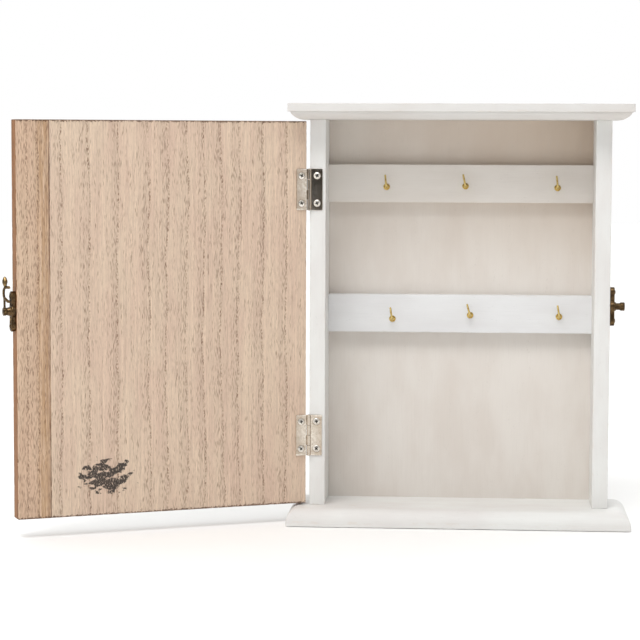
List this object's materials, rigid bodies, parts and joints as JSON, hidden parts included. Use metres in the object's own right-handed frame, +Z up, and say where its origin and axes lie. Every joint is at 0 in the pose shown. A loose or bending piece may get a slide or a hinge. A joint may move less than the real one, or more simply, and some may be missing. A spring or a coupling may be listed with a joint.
{
  "type": "key cabinet",
  "caption": "Small wooden key cabinet with moulded top and base, two rails of brass screw hooks, and a door on butt hinges with a swing-arm latch.",
  "frame": {"origin": "middle of the base's underside, below the front plane of the two side panels", "axes": "+X to the right, the open front faces -Y, +Z up"},
  "size_m": [0.4415, 0.1394, 0.306],
  "materials": {
    "whitewashed_wood": "thin matt white paint over wood grain, rubbed through at the edges",
    "whitewashed_rail": "thin matt white paint over wood grain",
    "cream_back_panel": "thin matt cream-white wash on a flat panel",
    "bare_paulownia": "bare sawn wood with dark pore streaks on the inner face, white paint on the outer face",
    "bare_paulownia_dark": "bare sawn wood, more orange, brown stained edge, white paint on the outer face",
    "nickel_plated_steel": "satin nickel plate",
    "zinc_plated_steel": "bright zinc plate",
    "bright_steel_nails": "plain wire nail steel",
    "polished_brass": "bright polished brass",
    "antique_bronze": "dark antique bronze, rubbed bright on the high spots"
  },
  "bodies": {
    "cabinet": {"side_panel_left": "whitewashed_wood", "side_panel_right": "whitewashed_wood", "top_board": "whitewashed_wood", "base_board": "whitewashed_wood", "back_panel": "cream_back_panel", "hook_rail_upper": "whitewashed_rail", "hook_rail_lower": "whitewashed_rail", "key_hook_upper_left": "polished_brass", "key_hook_upper_centre": "polished_brass", "key_hook_upper_right": "polished_brass", "key_hook_lower_left": "polished_brass", "key_hook_lower_centre": "polished_brass", "key_hook_lower_right": "polished_brass", "hinge_upper_frame_leaf": "nickel_plated_steel", "hinge_lower_frame_leaf": "nickel_plated_steel", "hinge_upper_pin": "nickel_plated_steel", "hinge_lower_pin": "nickel_plated_steel", "hinge_upper_frame_screws": "nickel_plated_steel", "hinge_lower_frame_screws": "nickel_plated_steel", "catch_plate": "antique_bronze", "catch_peg": "antique_bronze", "catch_plate_screws": "antique_bronze", "top_board_nails": "bright_steel_nails", "base_board_nails": "bright_steel_nails", "hook_rail_nails": "bright_steel_nails", "back_panel_tacks": "bright_steel_nails", "wall_hanger_left": "zinc_plated_steel", "wall_hanger_right": "zinc_plated_steel", "wall_hanger_screws": "zinc_plated_steel"},
    "door": {"door_board_wide": "bare_paulownia", "door_board_narrow": "bare_paulownia_dark", "hinge_upper_door_leaf": "nickel_plated_steel", "hinge_lower_door_leaf": "nickel_plated_steel", "hinge_upper_door_screws": "nickel_plated_steel", "hinge_lower_door_screws": "nickel_plated_steel", "latch_plate": "antique_bronze", "latch_pivot": "antique_bronze", "latch_plate_screws": "antique_bronze"},
    "latch_lever": {"latch_lever": "antique_bronze"}
  },
  "joints": [
    {"name": "door_hinge", "type": "hinge", "parent": "cabinet", "child": "door", "pos_m": [-0.1094, -0.0015, 0.1539], "axis": [0, 0, -1], "range_deg": [-154.55, 31]},
    {"name": "latch_lever_pivot", "type": "hinge", "parent": "door", "child": "latch_lever", "pos_m": [-0.30809, -0.08897, 0.16], "axis": [0.903, 0.4297, 0], "range_deg": [-180, 90]}
  ]
}
